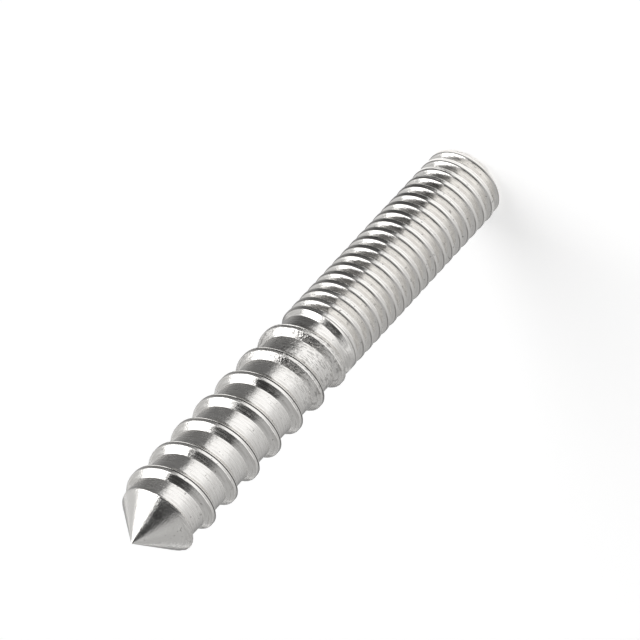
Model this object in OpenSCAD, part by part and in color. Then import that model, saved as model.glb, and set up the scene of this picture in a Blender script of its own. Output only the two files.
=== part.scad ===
// Hanger bolt: a metric machine thread at one end, a coarse wood screw thread with a
// turned point at the other, both right-handed and rolled on one bar. It stands on its
// flat end, with the origin at the middle of that end and the point upwards.

/* [Bolt] */
// Length from the flat end to the tip of the point
total_l = 41; // [36:0.5:60]

/* [Machine thread] */
// Diameter over the crests of the machine thread
machine_d = 5.88; // [5.7:0.02:6.2]
// Pitch of the machine thread
machine_pitch = 1; // [0.9:0.05:1.25]
// Depth of the machine thread
machine_depth = 0.6; // [0.4:0.05:0.65]
// Length of the machine thread, from the flat end to its shoulder
machine_l = 19; // [14:0.1:22]
// Angle round the bolt at which the groove of the machine thread runs out
machine_end_angle = 300; // [0:5:360]
// Width and height of the chamfer round the flat end
end_chamfer = 0.5; // [0.3:0.05:0.8]

/* [Shoulder] */
// Slope of the shoulder from the machine thread down to the core, measured from the axis
shoulder_slope = 32; // [25:1:60]

/* [Wood thread] */
// Diameter over the crest of the wood thread
wood_d = 6.25; // [6:0.05:6.6]
// Diameter of the core between the turns
wood_core_d = 5.24; // [4.4:0.02:5.4]
// Pitch of the wood thread
wood_pitch = 2.6; // [2.2:0.1:3.2]
// Width of the crest
wood_crest_w = 0.34; // [0.15:0.01:0.45]
// Slope of each flank, measured from square to the axis
wood_flank_angle = 38; // [20:1:45]
// Angle round the bolt at which the wood thread starts, at the shoulder
wood_start_angle = 55; // [0:5:360]
// Turn over which the wood thread grows to its full height
wood_runout = 110; // [60:5:180]

/* [Point] */
// Full angle of the turned point
point_angle = 89; // [60:1:100]

/* [Smoothness] */
// Steps in one turn of the machine thread
machine_steps = 24; // [18:1:30]
// Steps in one turn of the wood thread
wood_steps = 36; // [24:1:48]

/* [Hidden] */
$fn = 96;

// Each ridge is rooted this far under the surface it stands on
root_depth = 0.3;
// The ridge starts this far under the core, and stays this far inside the cone of the point
skin = 0.02;

machine_r = machine_d / 2;
core_r = wood_core_d / 2;
crest_r = wood_d / 2;

// Heights of the edges along the bolt, from the flat end up
core_z = machine_l + (machine_r - core_r) / tan(shoulder_slope);
point_z = total_l - core_r / tan(point_angle / 2);

// The metric form: crests an eighth of the pitch wide, and flanks at 30 degrees
groove_slope = tan(30);
groove_w = machine_pitch * 7 / 8;
// The groove's cutter reaches this far beyond the crests, then goes on with straight walls
groove_lip = 0.03;
cutter_r = machine_r + 0.3;
groove_runout = 140;
groove_end_z = machine_l + 0.1 * machine_pitch;
// Past the flat end by more than a turn, so that the groove leaves the bolt whole
groove_angle = 360 * (groove_end_z / machine_pitch + 1.2);

// Width of the wood thread where it meets the core
wood_root_w = wood_crest_w + 2 * (crest_r - core_r) * tan(wood_flank_angle);
wood_angle = 360 * (point_z + wood_root_w / 2 - machine_l) / wood_pitch;

function limit(x, low, high) = min(max(x, low), high);

// A point at radius r, angle a and height z
function ring_point(r, a, z) = [r * cos(a), r * sin(a), z];

// Radius of the cone of the point at height z
function point_r(z) = (total_l - z) * tan(point_angle / 2);

// Section of the groove at a degrees down from its run-out, h of its full depth
function groove_section(a, h) =
    let (
        turn = machine_end_angle - a,
        z = groove_end_z - machine_pitch * a / 360,
        root_r = machine_r + groove_lip - h * (machine_depth + groove_lip),
        half_w = groove_w / 2 + groove_lip * groove_slope,
        half_root = half_w - (machine_r + groove_lip - root_r) * groove_slope
    ) [
        ring_point(cutter_r, turn, z + half_w),
        ring_point(machine_r + groove_lip, turn, z + half_w),
        ring_point(root_r, turn, z + half_root),
        ring_point(root_r, turn, z - half_root),
        ring_point(machine_r + groove_lip, turn, z - half_w),
        ring_point(cutter_r, turn, z - half_w)
    ];

// Section of the wood thread at a degrees up from its start, h of its full height.
// It starts flat on the end of the machine thread
function wood_section(a, h) =
    let (
        turn = wood_start_angle + a,
        z = machine_l + wood_pitch * a / 360,
        top_r = core_r - skin + h * (crest_r - core_r + skin),
        half_root = wood_root_w / 2 + root_depth * tan(wood_flank_angle),
        half_top = half_root - (top_r - core_r + root_depth) * tan(wood_flank_angle)
    ) [
        for (p = [[-half_root, -1], [-half_top, 0], [half_top, 0], [half_root, -1]])
            let (
                place_z = max(z + p[0], machine_l),
                full_r = p[1] == 0 ? top_r : core_r - root_depth,
                r = min(full_r, point_r(place_z) - (p[1] == 0 ? skin : root_depth))
            )
            ring_point(r, turn, place_z)
    ];

// A solid through a row of sections, each with the same number of points
module swept(sections) {
    n = len(sections[0]);
    last = len(sections) - 1;
    sides = [
        for (i = [0:last - 1], j = [0:n - 1])
            let (k = (j + 1) % n, low = i * n, high = low + n)
            each [[low + j, low + k, high + k], [low + j, high + k, high + j]]
    ];
    start = [for (j = [n - 1:-1:0]) j];
    end = [for (j = [0:n - 1]) last * n + j];
    polyhedron([for (s = sections) each s], concat([start], sides, [end]), convexity = 20);
}

// The bar without its threads
module bar() {
    rotate_extrude()
        polygon([
            [0, 0],
            [machine_r - end_chamfer, 0],
            [machine_r, end_chamfer],
            [machine_r, machine_l],
            [core_r, core_z],
            [core_r, point_z],
            [0, total_l]
        ]);
}

module machine_groove() {
    steps = ceil(groove_angle * machine_steps / 360);
    swept([
        for (i = [steps:-1:0])
            let (a = groove_angle * i / steps)
            groove_section(a, limit(a / groove_runout, 0, 1))
    ]);
}

module wood_ridge() {
    steps = ceil(wood_angle * wood_steps / 360);
    swept([
        for (i = [0:steps])
            let (a = wood_angle * i / steps)
            wood_section(a, limit(a / wood_runout, 0, 1))
    ]);
}

module hanger_bolt() {
    color("silver")
    union() {
        difference() {
            bar();
            machine_groove();
        }
        wood_ridge();
    }
}

hanger_bolt();
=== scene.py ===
"""A steel hanger bolt, standing on its flat end on a plain pale floor.

The bolt is one piece. Its skin is a grid wrapped round the axis: in each threaded
length the rows of the grid climb with the thread, so that every crest, flank and
root is a row of its own, and elsewhere the rows are level rings.
"""
import math

import bpy
import numpy as np
from mathutils import Matrix


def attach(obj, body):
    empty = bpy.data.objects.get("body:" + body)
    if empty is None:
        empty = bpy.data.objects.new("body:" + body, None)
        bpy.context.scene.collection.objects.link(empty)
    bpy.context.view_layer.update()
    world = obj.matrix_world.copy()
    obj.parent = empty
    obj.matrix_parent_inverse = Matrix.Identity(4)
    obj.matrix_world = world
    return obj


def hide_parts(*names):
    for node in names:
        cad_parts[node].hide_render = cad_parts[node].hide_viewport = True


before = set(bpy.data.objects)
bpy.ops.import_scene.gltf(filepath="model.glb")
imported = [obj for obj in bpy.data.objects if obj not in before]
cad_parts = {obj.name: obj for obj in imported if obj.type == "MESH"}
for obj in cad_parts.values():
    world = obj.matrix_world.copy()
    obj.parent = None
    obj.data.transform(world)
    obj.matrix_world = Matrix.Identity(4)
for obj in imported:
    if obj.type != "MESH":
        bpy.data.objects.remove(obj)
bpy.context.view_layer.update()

MM = 0.001
WHITE = (1, 1, 1, 1)

# ---------------------------------------------------------------- sizes, in mm and degrees
# Of a pair of roundings, the first is on the side of the flat end. Flanks are measured
# from square to the axis, and the slope of the shoulder and of the point from the axis
TOTAL_L = 41.0
END_CHAMFER = 0.5

MACHINE_R = 2.94
MACHINE_L = 19.0
MACHINE_PITCH = 1.0
MACHINE_DEPTH = 0.49
MACHINE_FLANK = 30.0
MACHINE_CREST_W = 0.33
MACHINE_EDGE_ROUND = (0.16, 0.04)    # the two edges of the groove
MACHINE_ROOT_ROUND = 0.06
MACHINE_END_ANGLE = 180.0            # where the groove runs out
MACHINE_END_DROP = 0.233             # from the thread's end down to the groove's
MACHINE_RUNOUT = 140.0               # turn over which the groove gets shallower there
GROOVE_LIP = 0.03                    # outside the crests, where its floor runs out
NO_GROOVE = 9                        # a radius well outside the bolt

SHOULDER_Z = 18.82                   # where the machine thread's crests end
SHOULDER_SLOPE = 41.0

WOOD_R = 3.12
CORE_R = 2.62
WOOD_PITCH = 2.6
WOOD_FLANK = 40.0
WOOD_CREST_W = 0.34
WOOD_CREST_ROUND = (0.03, 0.14)
WOOD_ROOT_ROUND = (0.30, 0.05)
WOOD_START_ANGLE = 55.0
WOOD_RUNOUT = 110.0                  # turn over which the thread grows to its height
SEAM_W = 0.10                        # the seam that rolling leaves along the crest
SEAM_DEPTH = 0.06
SEAM_OFF = -0.08                     # from the middle of the crest
SEAM_ROUND = (0.005, 0.01, 0.01)     # its lower lip, its bottom and its upper lip

POINT_HALF_ANGLE = 44.5

# Heights of the edges along the bolt, and of the groove's end
MACHINE_END_Z = MACHINE_L - MACHINE_END_DROP
CORE_Z = SHOULDER_Z + (MACHINE_R - CORE_R) / math.tan(math.radians(SHOULDER_SLOPE))
POINT_SLOPE = math.tan(math.radians(POINT_HALF_ANGLE))
POINT_Z = TOTAL_L - CORE_R / POINT_SLOPE
CREST_CUT_Z = TOTAL_L - WOOD_R / POINT_SLOPE

# The grid: its columns, and about how far apart its rows are
COLUMNS = 156
ANGLES = np.arange(COLUMNS) * 360 / COLUMNS
MACHINE_ROW = 0.16
SHOULDER_ROW = 0.035
WOOD_ROW = 0.12
CUT_ROW = 0.03                       # where the cone of the point cuts the thread
POINT_ROW = 0.12
CUT_LOW_Z = CREST_CUT_Z - 0.3
CUT_HIGH_Z = POINT_Z + 0.1
LAST_RING_Z = TOTAL_L - 0.02
END_RINGS = (0.85, 0.6, 0.3)         # on the flat end, as shares of its radius
JOIN_WITHIN = 0.004                  # a climbing row this near a level ring joins it
LINE_STEPS = 12                      # steps round a corner of a thread's line
ROW_STEPS = 2                        # rows of the grid round that corner

# Normals are taken this share of the way from a corner to the middle of its face,
# from the form this far to each side
NORMAL_INSET = 0.1
NORMAL_DZ = 0.002
NORMAL_DANGLE = 0.05
FLAT_END_Z = 1e-4                    # below it lies the flat end alone


# ---------------------------------------------------------------- form of the bolt
def rounded(knots, steps):
    """A polyline through (place, radius, rounding) knots, with each corner rounded."""
    line = [np.array(knots[0][:2])]
    for before, here, after in zip(knots, knots[1:], knots[2:]):
        a, p, b = (np.array(k[:2], float) for k in (before, here, after))
        into = (p - a) / np.linalg.norm(p - a)
        out = (b - p) / np.linalg.norm(b - p)
        turn = math.atan2(into[0] * out[1] - into[1] * out[0], into @ out)
        if abs(turn) < 1e-6 or not here[2]:
            line.append(p)
            continue
        side = math.copysign(1, turn) * np.array([-into[1], into[0]])
        reach = here[2] * math.tan(abs(turn) / 2)
        centre = p - into * reach + side * here[2]
        spoke = -side * here[2]
        for i in range(steps + 1):
            a = turn * i / steps
            line.append(centre + np.array([
                spoke[0] * math.cos(a) - spoke[1] * math.sin(a),
                spoke[0] * math.sin(a) + spoke[1] * math.cos(a)]))
    line.append(np.array(knots[-1][:2]))
    return np.array(line)


def machine_profile(steps):
    """One groove of the machine thread, from crest to crest."""
    edge = (MACHINE_PITCH - MACHINE_CREST_W) / 2
    root = edge - MACHINE_DEPTH * math.tan(math.radians(MACHINE_FLANK))
    low = MACHINE_R - MACHINE_DEPTH
    half = MACHINE_PITCH / 2
    return rounded([
        (-half, MACHINE_R, 0),
        (-edge, MACHINE_R, MACHINE_EDGE_ROUND[0]),
        (-root, low, MACHINE_ROOT_ROUND),
        (root, low, MACHINE_ROOT_ROUND),
        (edge, MACHINE_R, MACHINE_EDGE_ROUND[1]),
        (half, MACHINE_R, 0)], steps)


def wood_profile(steps):
    """One turn of the wood thread, from root to root, with the seam in its crest."""
    crest = WOOD_CREST_W / 2
    root = crest + (WOOD_R - CORE_R) * math.tan(math.radians(WOOD_FLANK))
    half = WOOD_PITCH / 2
    lip = SEAM_W / 2
    return rounded([
        (-half, CORE_R, 0),
        (-root, CORE_R, WOOD_ROOT_ROUND[0]),
        (-crest, WOOD_R, WOOD_CREST_ROUND[0]),
        (SEAM_OFF - lip, WOOD_R, SEAM_ROUND[0]),
        (SEAM_OFF, WOOD_R - SEAM_DEPTH, SEAM_ROUND[1]),
        (SEAM_OFF + lip, WOOD_R, SEAM_ROUND[2]),
        (crest, WOOD_R, WOOD_CREST_ROUND[1]),
        (root, CORE_R, WOOD_ROOT_ROUND[1]),
        (half, CORE_R, 0)], steps)


MACHINE_LINE = machine_profile(LINE_STEPS)
WOOD_LINE = wood_profile(LINE_STEPS)


def bar_radius(z):
    """The bar without its threads. Above the shoulder it stays at the core's radius."""
    return np.interp(
        z,
        [0, END_CHAMFER, SHOULDER_Z, CORE_Z],
        [MACHINE_R - END_CHAMFER, MACHINE_R, MACHINE_R, CORE_R])


def groove_radius(z, angle):
    """Floor of the machine thread's groove, or NO_GROOVE where there is none."""
    first = MACHINE_END_ANGLE - angle
    turn = np.round((MACHINE_END_Z - z) / MACHINE_PITCH - first / 360)
    along = first + 360 * turn
    along = np.where(along < 0, along + 360, along)
    u = z - (MACHINE_END_Z - MACHINE_PITCH * along / 360)
    full = np.interp(u, MACHINE_LINE[:, 0], MACHINE_LINE[:, 1])
    depth = np.clip(along / MACHINE_RUNOUT, 0, 1) * (MACHINE_DEPTH + GROOVE_LIP)
    floor = MACHINE_R + GROOVE_LIP - depth
    return np.where(np.abs(u) <= MACHINE_PITCH / 2, np.maximum(full, floor), NO_GROOVE)


def ridge_radius(z, angle):
    """Top of the wood thread, at the core's radius between its turns."""
    first = angle - WOOD_START_ANGLE
    turn = np.round((z - MACHINE_L) / WOOD_PITCH - first / 360)
    along = first + 360 * turn
    u = z - (MACHINE_L + WOOD_PITCH * along / 360)
    full = np.interp(u, WOOD_LINE[:, 0], WOOD_LINE[:, 1])
    top = CORE_R + np.clip(along / WOOD_RUNOUT, 0, 1) * (WOOD_R - CORE_R)
    return np.where(along < 0, CORE_R, np.minimum(full, top))


def radius(z, angle):
    """Radius of the bolt at height z and an angle in degrees."""
    angle = np.mod(angle, 360)
    r = np.minimum(bar_radius(z), groove_radius(z, angle))
    r = np.where(z > MACHINE_L, np.maximum(r, ridge_radius(z, angle)), r)
    return np.minimum(r, np.maximum(TOTAL_L - z, 0) * POINT_SLOPE)


# ---------------------------------------------------------------- the grid
class Skin:
    """Collects the vertices and faces of the bolt. A vertex is a height, an angle and a
    share of the bolt's radius there. A row is the numbers of the vertices once round the
    bolt, with the one that closes it at the end."""

    def __init__(self):
        self.vertices, self.faces = [], []
        self.count = 0

    def add(self, z, angle, share=1.0):
        """New vertices. Returns their numbers."""
        new = np.stack([part.ravel() for part in np.broadcast_arrays(z, angle, share)])
        self.vertices.append(new)
        self.count += new.shape[1]
        return np.arange(self.count - new.shape[1], self.count)

    def ring(self, z, share=1.0):
        """A level row of vertices."""
        ids = self.add(z, ANGLES, share)
        return np.append(ids, ids[0])

    def centre(self, z):
        """A row that is one vertex on the axis."""
        return np.repeat(self.add(z, 0.0, 0.0), COLUMNS + 1)

    def face(self, *corners):
        """A face, without the corners that fall together. With under three it is left out."""
        kept = [c for i, c in enumerate(corners) if c != corners[i - 1]]
        if len(set(kept)) > 2:
            self.faces.append(kept)

    def band(self, low, high):
        """Faces between two rows."""
        for a, b, c, d in zip(low, low[1:], high[1:], high):
            self.face(a, b, c, d)

    def rings(self, heights, low):
        """Level rings upwards from the row low. Returns the last one."""
        for z in heights:
            high = self.ring(z)
            self.band(low, high)
            low = high
        return low

    def threaded(self, low_z, high_z, low, start_z, pitch, offsets):
        """Rows that climb with a thread, between two level rings. Returns the upper ring.
        A row passes through start_z at angle 0, and there is one at each offset, in mm."""
        high = self.ring(high_z)
        # Turns enough to pass both rings at every angle
        first = math.floor((low_z - start_z) / pitch) - 2
        last = math.ceil((high_z - start_z) / pitch) + 1
        starts = np.array([
            start_z + pitch * k + o for k in range(first, last + 1) for o in offsets])
        z = starts[:, None] + pitch * ANGLES[None, :] / 360
        ids = np.empty(z.shape, int)
        below, above = z < low_z + JOIN_WITHIN, z > high_z - JOIN_WITHIN
        ids[below] = np.broadcast_to(low[:-1], z.shape)[below]
        ids[above] = np.broadcast_to(high[:-1], z.shape)[above]
        free = ~(below | above)
        ids[free] = self.add(z[free], np.broadcast_to(ANGLES, z.shape)[free])
        # Once round, a row meets the one that starts a pitch higher
        n = len(offsets)
        rows = np.hstack([ids[:-n], ids[n:, :1]])
        for row, above_it in zip(rows, rows[1:]):
            self.band(row, above_it)
        return high


def spaced(low, high, step):
    """Heights from just above low to high, about step apart."""
    n = max(1, round((high - low) / step))
    return [low + (high - low) * (i + 1) / n for i in range(n)]


def row_offsets(line, most):
    """Offsets of the rows across a thread: one at each point of its line, and more of
    them where those are more than most apart."""
    places = sorted(set(line[:, 0].round(5)))
    out = []
    for a, b in zip(places, places[1:]):
        n = max(1, math.ceil((b - a) / most - 1e-6))
        out += [a + (b - a) * i / n for i in range(n)]
    return out


def bolt_skin():
    """The whole grid: up from the base ring to the tip, then the flat end inwards."""
    skin = Skin()
    base = skin.ring(0)
    top = skin.threaded(
        0, SHOULDER_Z, base,
        MACHINE_END_Z - MACHINE_PITCH * MACHINE_END_ANGLE / 360, MACHINE_PITCH,
        row_offsets(machine_profile(ROW_STEPS), MACHINE_ROW))
    top = skin.rings(spaced(SHOULDER_Z, CORE_Z, SHOULDER_ROW), top)
    top = skin.threaded(
        CORE_Z, CUT_LOW_Z, top,
        MACHINE_L - WOOD_PITCH * WOOD_START_ANGLE / 360, WOOD_PITCH,
        row_offsets(wood_profile(ROW_STEPS), WOOD_ROW))
    top = skin.rings(spaced(CUT_LOW_Z, CUT_HIGH_Z, CUT_ROW), top)
    top = skin.rings(spaced(CUT_HIGH_Z, LAST_RING_Z, POINT_ROW), top)
    skin.band(top, skin.centre(TOTAL_L))
    outer = base
    for share in END_RINGS:
        inner = skin.ring(0, share)
        skin.band(inner, outer)
        outer = inner
    skin.band(skin.centre(0), outer)
    return skin


def bolt_mesh():
    """The mesh of the bolt, in metres."""
    skin = bolt_skin()
    z, angle, share = np.hstack(skin.vertices)
    r = radius(z, angle) * share
    a = np.radians(angle)
    points = np.stack([r * np.cos(a), r * np.sin(a), z], 1) * MM
    mesh = bpy.data.meshes.new("hanger_bolt_dressed")
    mesh.from_pydata(points.tolist(), [], [list(map(int, f)) for f in skin.faces])
    mesh.validate()
    mesh.update()
    return mesh


def values(items, name, kind=float, width=1):
    """One property of all the items of a mesh, as an array."""
    out = np.empty(len(items) * width, kind)
    items.foreach_get(name, out)
    return out


def set_normals(mesh):
    """Gives each corner of each face the normal of the true form, so that the edges stay
    crisp. It is taken a little way into the face, on that face's side of an edge."""
    corner = values(mesh.loops, "vertex_index", int)
    co = values(mesh.vertices, "co", width=3).reshape(-1, 3) / MM
    starts = values(mesh.polygons, "loop_start", int)
    totals = values(mesh.polygons, "loop_total", int)
    centres = np.add.reduceat(co[corner], starts, axis=0) / totals[:, None]
    owner = np.repeat(np.arange(len(starts)), totals)
    x, y, z = (co[corner] * (1 - NORMAL_INSET) + centres[owner] * NORMAL_INSET).T
    angle = np.degrees(np.arctan2(y, x))
    # Slopes of the radius along the axis, per mm, and round it, per radian
    along = (radius(z + NORMAL_DZ, angle) - radius(z - NORMAL_DZ, angle)) / (2 * NORMAL_DZ)
    around = (
        (radius(z, angle + NORMAL_DANGLE) - radius(z, angle - NORMAL_DANGLE))
        / math.radians(2 * NORMAL_DANGLE))
    t = around / np.maximum(radius(z, angle), 1e-6)
    a = np.radians(angle)
    normal = np.stack([
        np.cos(a) + t * np.sin(a), np.sin(a) - t * np.cos(a), -along], 1)
    normal[z < FLAT_END_Z] = (0, 0, -1)
    normal /= np.linalg.norm(normal, axis=1)[:, None]
    mesh.shade_smooth()
    mesh.normals_split_custom_set(normal.tolist())


# ---------------------------------------------------------------- node graphs
class Graph:
    """The node tree of a material or world, emptied, with short forms for its nodes."""

    def __init__(self, owner):
        owner.use_nodes = True
        self.tree = owner.node_tree
        self.tree.nodes.clear()

    def node(self, kind, inputs=None, **settings):
        """A node. Each of its inputs is given as a plain value or as another's output."""
        made = self.tree.nodes.new("ShaderNode" + kind)
        for key, value in settings.items():
            setattr(made, key, value)
        for key, value in (inputs or {}).items():
            if isinstance(value, bpy.types.NodeSocket):
                self.tree.links.new(value, made.inputs[key])
            else:
                made.inputs[key].default_value = value
        return made

    def calc(self, operation, first, *others):
        """The output of a Math node, or of a chain of them where there are more values."""
        for other in others or (0.0,):
            first = self.node("Math", {0: first, 1: other}, operation=operation).outputs[0]
        return first

    def times(self, *factors):
        """The product of its values."""
        return self.calc("MULTIPLY", *factors)

    def plus(self, *terms):
        """The sum of its values."""
        return self.calc("ADD", *terms)

    def highest(self, *choices):
        """The highest of its values."""
        return self.calc("MAXIMUM", *choices)

    def ramp(self, value, start, end, low=0.0, high=1.0):
        """value taken smoothly from low at start to high at end."""
        return self.node("MapRange", {
            "Value": value, "From Min": start, "From Max": end, "To Min": low,
            "To Max": high}, interpolation_type="SMOOTHSTEP").outputs[0]

    def noise(self, place, scale, detail):
        """Fractal noise, between 0 and 1."""
        return self.node("TexNoise", {
            "Vector": place, "Scale": scale, "Detail": detail}).outputs["Fac"]

    def blend(self, factor, low, high):
        """A colour between two."""
        return self.node("Mix", {
            "Factor": factor, "A": low, "B": high}, data_type="RGBA").outputs["Result"]


# ---------------------------------------------------------------- steel
# Zones along the bolt: the heights in mm at which each starts and is in full force
ON_WOOD = (MACHINE_L - 0.1, MACHINE_L + 0.1)
ON_POINT = (POINT_Z - 0.05, POINT_Z + 0.1)
ON_FLAT_END = (0.02, 0.005)
FLAKY_UP, FLAKY_DOWN = (19.6, 20.6), (25.5, 23.0)
SEAM_UP, SEAM_DOWN = (MACHINE_L + 1.5, MACHINE_L + 2), (CREST_CUT_Z, CREST_CUT_Z - 0.15)
RIM_UP = (0.02, 0.06)

# Levels of the noise at which each kind of mark starts and is in full force
WORN_AT = (0.38, 0.62)
PITS_AT = (0.66, 0.74)
FLAKES_AT = (0.52, 0.62)
SHINE_AT = (0.25, 0.6)
ROUGH_MARKS_AT = (0.35, 0.7)

# Depths of the relief, in mm
MARK_DEPTH = 0.0085
SCRATCH_DEPTH = 0.0035
DENT_DEPTH = 0.026
SKIN_DEPTH = (0.004, 0.040)          # of the plain skin and of the flaky zone
RING_DEPTH = 0.005
GRAIN_DEPTH = 0.016
POINT_CALM = 0.2                     # share of the rolled relief left on the point

# Grime, the seam's dark line and a painted dark reflection on the crest edges: half the width
# of their lines in mm, and how much there is. The seam's line is at full strength
SEAM_LINE = 0.035
RIM_LINE = 0.04
LINE_EDGE = (1.5, 0.5)               # its soft edge, as shares of that half
RIM_DROP = 0.03                      # from the upper edge of a crest down to its line
# Strength of the painted dark reflection along the upper edges of the machine crests
RIM_PAINTED_REFLECTION = 0.55
PIT_GRIME = 0.6
FLAKE_GRIME = 0.45
# Colour of the grime, of the seam's dark line and of the painted dark reflection
GRIME_SEAM_AND_PAINTED_REFLECTION_COLOUR = (0.10, 0.095, 0.09, 1)

STEEL_DULL = (0.70, 0.68, 0.655, 1)
STEEL_BRIGHT = (0.90, 0.885, 0.86, 1)
ROUGHNESS = (0.11, 0.21)             # of polished and of worn steel
MARK_ROUGHNESS = 0.08                # what the marks and the flaky zone add to it
FLAKY_ROUGHNESS = 0.06


class SteelGraph(Graph):
    """A graph that knows where on the bolt it is, in mm and radians."""

    def __init__(self, material):
        super().__init__(material)
        metres = self.node("TexCoord").outputs["Object"]
        self.place = self.node(
            "VectorMath", {0: metres, "Scale": 1 / MM}, operation="SCALE").outputs[0]
        x, y, self.z = self.node("SeparateXYZ", {0: self.place}).outputs
        self.angle = self.calc("ARCTAN2", y, x)
        # These count turns along their thread, in radians
        self.wood_turn, self.machine_turn = (
            self.calc("SUBTRACT", self.times(self.z, 2 * math.pi / pitch), self.angle)
            for pitch in (WOOD_PITCH, MACHINE_PITCH))
        self.on_wood = self.ramp(self.z, *ON_WOOD)
        self.on_machine = self.calc("SUBTRACT", 1.0, self.on_wood)
        self.on_point = self.ramp(self.z, *ON_POINT)
        # 1 where the wood thread starts
        self.flaky = self.times(self.ramp(self.z, *FLAKY_UP), self.ramp(self.z, *FLAKY_DOWN))
        # Share of the rolled marks that is left by the turning of the point
        self.calm = self.ramp(self.on_point, 0, 1, 1, POINT_CALM)

    def helical_marks(self, turn, across, along, detail):
        """Noise drawn out along a thread. It joins up with itself all round the bolt."""
        x, y, z, w = (
            self.times(self.calc(function, value), scale)
            for function, value, scale in (
                ("COSINE", turn, across), ("SINE", turn, across),
                ("COSINE", self.angle, along), ("SINE", self.angle, along)))
        place = self.node("CombineXYZ", {"X": x, "Y": y, "Z": z}).outputs[0]
        return self.node(
            "TexNoise", {"Vector": place, "W": w, "Scale": 1.0, "Detail": detail},
            noise_dimensions="4D").outputs["Fac"]

    def thread_line(self, turn, pitch, z, angle, half_width):
        """1 on a thin line along a thread, through height z at an angle in degrees."""
        there = 2 * math.pi * z / pitch - math.radians(angle)
        near = self.calc("COSINE", self.calc("SUBTRACT", turn, there % (2 * math.pi)))
        reach = 2 * math.pi * half_width / pitch
        outside, inside = (math.cos(share * reach) for share in LINE_EDGE)
        return self.ramp(near, outside, inside)

    def marks(self):
        """Fine marks along each thread, and an even grain on the flat end, which was cut."""
        wood = self.helical_marks(self.wood_turn, across=7.0, along=2.2, detail=3)
        machine = self.helical_marks(self.machine_turn, across=2.6, along=2.2, detail=3)
        rolled = self.plus(self.times(wood, self.on_wood), self.times(machine, self.on_machine))
        change = self.calc("SUBTRACT", self.noise(self.place, scale=4.0, detail=4), rolled)
        return self.plus(rolled, self.times(change, self.ramp(self.z, *ON_FLAT_END)))

    def grime_seam_and_painted_reflection(self):
        """Darkening: a dark line in the seam, a painted dark reflection along the upper edges
        of the machine crests, and grime in pits and between flakes."""
        # A dark line along the seam
        seam = self.thread_line(
            self.wood_turn, WOOD_PITCH, MACHINE_L + SEAM_OFF, WOOD_START_ANGLE, SEAM_LINE)
        seam = self.times(seam, self.ramp(self.z, *SEAM_UP), self.ramp(self.z, *SEAM_DOWN))
        # Painted dark reflection: a dark line along the upper edge of each machine crest
        rim = self.thread_line(
            self.machine_turn, MACHINE_PITCH,
            MACHINE_END_Z - (MACHINE_PITCH - MACHINE_CREST_W) / 2 - RIM_DROP,
            MACHINE_END_ANGLE, RIM_LINE)
        rim = self.times(rim, self.on_machine, RIM_PAINTED_REFLECTION, self.ramp(self.z, *RIM_UP))
        pits = self.ramp(self.noise(self.place, scale=4.2, detail=2), *PITS_AT)
        flakes = self.helical_marks(self.wood_turn, across=4.0, along=6.0, detail=4)
        flakes = self.times(self.ramp(flakes, *FLAKES_AT), self.flaky, FLAKE_GRIME)
        return self.highest(seam, rim, self.times(pits, PIT_GRIME), flakes)

    def relief(self, marks):
        """The normal of the surface with its small heights: a rolled skin along the bolt,
        and turned rings and grain on the point."""
        scratches = self.helical_marks(self.wood_turn, across=30.0, along=5.0, detail=2)
        dents = self.noise(self.place, scale=1.5, detail=3)
        skin = self.noise(self.place, scale=5.5, detail=4)
        rolled = self.plus(
            self.times(marks, MARK_DEPTH),
            self.times(scratches, self.on_wood, SCRATCH_DEPTH),
            self.times(dents, DENT_DEPTH),
            self.times(skin, self.ramp(self.flaky, 0, 1, *SKIN_DEPTH)))
        level = self.node("CombineXYZ", {"Z": self.z}).outputs[0]
        turned = self.plus(
            self.times(self.noise(level, scale=9.0, detail=2), RING_DEPTH),
            self.times(self.noise(self.place, scale=9.0, detail=4), GRAIN_DEPTH))
        height = self.plus(self.times(rolled, self.calm), self.times(turned, self.on_point))
        return self.node("Bump", {"Distance": MM, "Height": height}).outputs["Normal"]

    def roughness(self, marks):
        """Polished steel with worn patches, rougher in its marks and where it flakes."""
        worn = self.ramp(self.noise(self.place, scale=0.9, detail=4), *WORN_AT)
        in_marks = self.ramp(marks, *ROUGH_MARKS_AT, 0, MARK_ROUGHNESS)
        return self.plus(
            self.ramp(worn, 0, 1, *ROUGHNESS), self.times(in_marks, self.calm),
            self.times(self.flaky, FLAKY_ROUGHNESS))

    def colour(self, marks):
        """Bright where it is polished, and dark where there is grime, along the seam, and where
        a dark reflection is painted on the crest edges.
        """
        shine = self.highest(self.ramp(marks, *SHINE_AT), self.on_point)
        return self.blend(
            self.grime_seam_and_painted_reflection(), self.blend(shine, STEEL_DULL, STEEL_BRIGHT), GRIME_SEAM_AND_PAINTED_REFLECTION_COLOUR)


def steel_material():
    """Bright rolled steel: fine marks along the threads, turning marks on the point, and
    a mottled, dented skin, roughest where the wood thread starts."""
    material = bpy.data.materials.new("rolled_steel")
    graph = SteelGraph(material)
    marks = graph.marks()
    shader = graph.node("BsdfPrincipled", {
        "Metallic": 1, "Base Color": graph.colour(marks),
        "Roughness": graph.roughness(marks), "Normal": graph.relief(marks)})
    graph.node("OutputMaterial", {"Surface": shader.outputs["BSDF"]})
    return material


def hanger_bolt():
    """The one piece of the object."""
    mesh = bolt_mesh()
    set_normals(mesh)
    bolt = bpy.data.objects.new("hanger_bolt_dressed", mesh)
    bpy.context.collection.objects.link(bolt)
    mesh.materials.append(steel_material())
    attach(bolt, "root")
    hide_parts("hanger_bolt")


# ---------------------------------------------------------------- floor
FLOOR_HALF = 1.5                     # in metres
FLOOR_COLOUR = (0.8, 0.8, 0.8, 1)
FLOOR_GLOW = 0.46


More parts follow.
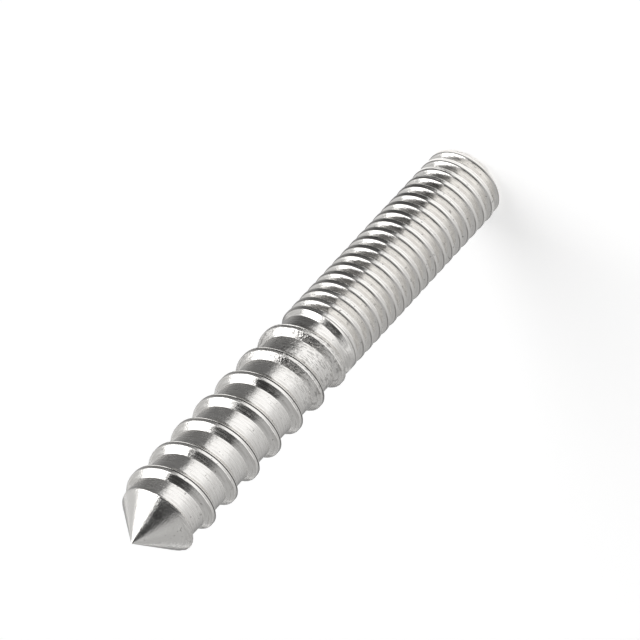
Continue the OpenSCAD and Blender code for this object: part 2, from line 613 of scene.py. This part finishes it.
def floor_material():
    """Pale paper that keeps the bolt's shadow. To the camera and in reflections it also
    glows, so that it looks white."""
    material = bpy.data.materials.new("pale_floor")
    graph = Graph(material)
    rays = graph.node("LightPath").outputs
    seen = graph.highest(
        rays["Is Camera Ray"], rays["Is Glossy Ray"], rays["Is Transmission Ray"])
    paper = graph.node("BsdfDiffuse", {"Color": FLOOR_COLOUR})
    glow = graph.node("Emission", {"Color": WHITE, "Strength": graph.times(seen, FLOOR_GLOW)})
    both = graph.node("AddShader", {0: paper.outputs[0], 1: glow.outputs[0]})
    graph.node("OutputMaterial", {"Surface": both.outputs[0]})
    return material


def pale_floor():
    """A square of floor under the bolt."""
    floor_mesh = bpy.data.meshes.new("floor")
    floor_mesh.from_pydata(
        [(x, y, 0) for x, y in ((-1, -1), (1, -1), (1, 1), (-1, 1))], [], [(0, 1, 2, 3)])
    floor_mesh.materials.append(floor_material())
    floor = bpy.data.objects.new("floor", floor_mesh)
    floor.scale = (FLOOR_HALF, FLOOR_HALF, 1)
    bpy.context.collection.objects.link(floor)


# ---------------------------------------------------------------- light
# Brightness of the tent, where x is the sideways part of the direction
TENT_LEVELS = (0.45, 0.6)            # to the -X side and to the +X side
TENT_SIDES = (-0.2, 0.2)             # x at which each of the two is reached
# Its low part in front is brighter towards -X and darker towards +X. Each zone is given
# by where it is out and where it is full
LOW_Y, LOW_Z = (0.15, -0.25), (0.6, 0.45)
LOW_BRIGHT_X, LOW_BRIGHT = (0.35, 0.2), 1.1
LOW_DARK_X, LOW_DARK = (0.35, 0.5), 0.3
# The opening, on a plane at height 1 over the bolt: outside and inside of each soft edge
OPENING_LEVEL = 0.045
OPENING_PLUS_X = (0.52, 0.44)
OPENING_MINUS_X = (-0.35, 0.08)      # from a line that slants at 45 degrees
OPENING_SLANT_END = -0.62            # further to the front that line is straight
OPENING_BACK = (0.35, 0.25)
OPENING_FRONT = (-1.35, -1.15)
LEAST_UP = 0.02                      # keeps that plane's places within reach


def studio_world():
    """An even tent, with a dark opening over the front for the lens to look through. The
    camera itself sees plain white."""
    world = bpy.data.worlds.new("studio")
    bpy.context.scene.world = world
    graph = Graph(world)
    towards = graph.node("TexCoord").outputs["Generated"]
    x, y, z = graph.node("SeparateXYZ", {0: towards}).outputs
    up = graph.highest(z, LEAST_UP)
    across = graph.calc("DIVIDE", x, up)
    along = graph.calc("DIVIDE", y, up)
    slant = graph.calc("SUBTRACT", across, graph.highest(along, OPENING_SLANT_END))
    inside = graph.times(
        graph.ramp(across, *OPENING_PLUS_X), graph.ramp(slant, *OPENING_MINUS_X),
        graph.ramp(along, *OPENING_BACK), graph.ramp(along, *OPENING_FRONT))
    low = graph.times(graph.ramp(y, *LOW_Y), graph.ramp(z, *LOW_Z))
    bright = graph.times(low, graph.ramp(x, *LOW_BRIGHT_X))
    dark = graph.times(low, graph.ramp(x, *LOW_DARK_X))
    level = graph.ramp(x, *TENT_SIDES, *TENT_LEVELS)
    change = graph.calc("SUBTRACT", LOW_BRIGHT, level)
    level = graph.plus(level, graph.times(bright, change))
    level = graph.times(level, graph.ramp(dark, 0, 1, 1, LOW_DARK))
    level = graph.plus(
        graph.times(level, graph.calc("SUBTRACT", 1, inside)),
        graph.times(inside, OPENING_LEVEL))
    rays = graph.node("LightPath").outputs
    level = graph.highest(level, rays["Is Camera Ray"])
    back = graph.node("Background", {"Color": WHITE, "Strength": level})
    graph.node("OutputWorld", {"Surface": back.outputs[0]})


# The softbox is over the +X side. The middle of its near edge is 25 degrees from overhead
SOFTBOX_SIZE = (0.60, 0.84)          # in metres, as the next two are
SOFTBOX_D = 0.8
SOFTBOX_OFFSET = (0.022, -0.145)
SOFTBOX_TILT = math.radians(41.7)
SOFTBOX_TURN = math.radians(28.8)
SOFTBOX_RADIANCE = 1.9


def softbox():
    """A rectangular lamp of even radiance."""
    width, length = SOFTBOX_SIZE
    data = bpy.data.lights.new("softbox", "AREA")
    data.shape = "RECTANGLE"
    data.size, data.size_y = width, length
    data.energy = SOFTBOX_RADIANCE * math.pi * width * length
    lamp = bpy.data.objects.new("softbox", data)
    bpy.context.collection.objects.link(lamp)
    lamp.matrix_world = (
        Matrix.Rotation(SOFTBOX_TILT, 4, "Y")
        @ Matrix.Translation((*SOFTBOX_OFFSET, SOFTBOX_D))
        @ Matrix.Rotation(SOFTBOX_TURN, 4, "Z"))


# What the steel sees of the floor close by, as a painted reflection: a glowing card that only
# its reflections show.
# Distances are in mm from the axis, and azimuths in degrees from -Y towards -X
CARD_Z = 0.3
CARD_REACH = (3.3, 300)
CARD_SPAN = (-180, 180)
CARD_RINGS, CARD_SPOKES = 56, 361
# One side of it is painted shade: dark, and lighter outwards and round the back
CARD_DARK_NEAR, CARD_DARK_FAR = 0.07, 0.17
CARD_DARK_DISTANCES = (24, 36)
CARD_BACK = 0.36
CARD_BACK_AZIMUTHS = (-90, -150)
# The other side is painted light, from this azimuth on, and so is what lies close to the bolt
CARD_LIT_AZIMUTHS = (-42, -26)
CARD_LIT_DISTANCES = (7, 5)
CARD_AZIMUTHS = (20, 45, 65, 90, 130, 155)
CARD_TONES = (1.12, 0.76, 0.66, 0.58, 0.44, 0.28)


def smooth(value, start, end):
    """0 before start and 1 past end, with a soft passage between them."""
    share = np.clip((value - start) / (end - start), 0, 1)
    return share * share * (3 - 2 * share)


def card_level(distance, azimuth):
    """Brightness of the card at its points."""
    outwards = smooth(distance, *CARD_DARK_DISTANCES)
    dark = CARD_DARK_NEAR + (CARD_DARK_FAR - CARD_DARK_NEAR) * outwards
    dark = dark + (CARD_BACK - dark) * smooth(azimuth, *CARD_BACK_AZIMUTHS)
    lit = np.maximum(
        smooth(azimuth, *CARD_LIT_AZIMUTHS), smooth(distance, *CARD_LIT_DISTANCES))
    return dark + lit * (np.interp(azimuth, CARD_AZIMUTHS, CARD_TONES) - dark)


def card_material():
    """Light of the brightness that the mesh gives at each point."""
    material = bpy.data.materials.new("floor_card")
    graph = Graph(material)
    level = graph.node("Attribute", attribute_name="level").outputs["Fac"]
    glow = graph.node("Emission", {"Strength": level})
    graph.node("OutputMaterial", {"Surface": glow.outputs[0]})
    return material


def floor_card():
    """The card, as rings of points that lie closer together near the bolt."""
    azimuth, distance = (
        grid.ravel() for grid in np.meshgrid(
            np.linspace(*CARD_SPAN, CARD_SPOKES), np.geomspace(*CARD_REACH, CARD_RINGS)))
    a = np.radians(azimuth)
    points = np.stack([
        -np.sin(a) * distance, -np.cos(a) * distance, np.full(len(a), CARD_Z)], 1) * MM
    n = CARD_SPOKES
    faces = [
        (k, k + 1, k + n + 1, k + n)
        for j in range(CARD_RINGS - 1) for k in range(n * j, n * j + n - 1)]
    card_mesh = bpy.data.meshes.new("floor_card")
    card_mesh.from_pydata(points.tolist(), [], faces)
    levels = card_mesh.attributes.new("level", "FLOAT", "POINT")
    levels.data.foreach_set("value", card_level(distance, azimuth).astype(np.float32))
    card_mesh.materials.append(card_material())
    card = bpy.data.objects.new("floor_card", card_mesh)
    # Only reflections show this card: its glow is a painted reflection of shade and light on
    # the floor
    card.visible_camera = card.visible_diffuse = card.visible_shadow = False
    bpy.context.collection.objects.link(card)


# ---------------------------------------------------------------- camera
CAMERA_LENS = 440.5
CAMERA_SENSOR = 36
CAMERA_CLIP = (0.01, 10)
CAMERA_AIM = (0.904 * MM, 0, 17.288 * MM)
CAMERA_DISTANCE = 538.3 * MM
CAMERA_ELEVATION = math.radians(34.22)
CAMERA_ROLL = math.radians(137.21)


def photo_camera():
    """The photograph's camera, in front of the bolt and rolled round its own axis."""
    camera_data = bpy.data.cameras.new("camera")
    camera_data.lens = CAMERA_LENS
    camera_data.sensor_width = CAMERA_SENSOR
    camera_data.clip_start, camera_data.clip_end = CAMERA_CLIP
    camera = bpy.data.objects.new("camera", camera_data)
    bpy.context.collection.objects.link(camera)
    camera.matrix_world = (
        Matrix.Translation(CAMERA_AIM)
        @ Matrix.Rotation(math.pi / 2 - CAMERA_ELEVATION, 4, "X")
        @ Matrix.Rotation(-CAMERA_ROLL, 4, "Z")
        @ Matrix.Translation((0, 0, CAMERA_DISTANCE)))
    bpy.context.scene.camera = camera


hanger_bolt()
pale_floor()
studio_world()
softbox()
floor_card()
photo_camera()
bpy.context.scene.view_settings.view_transform = "Standard"
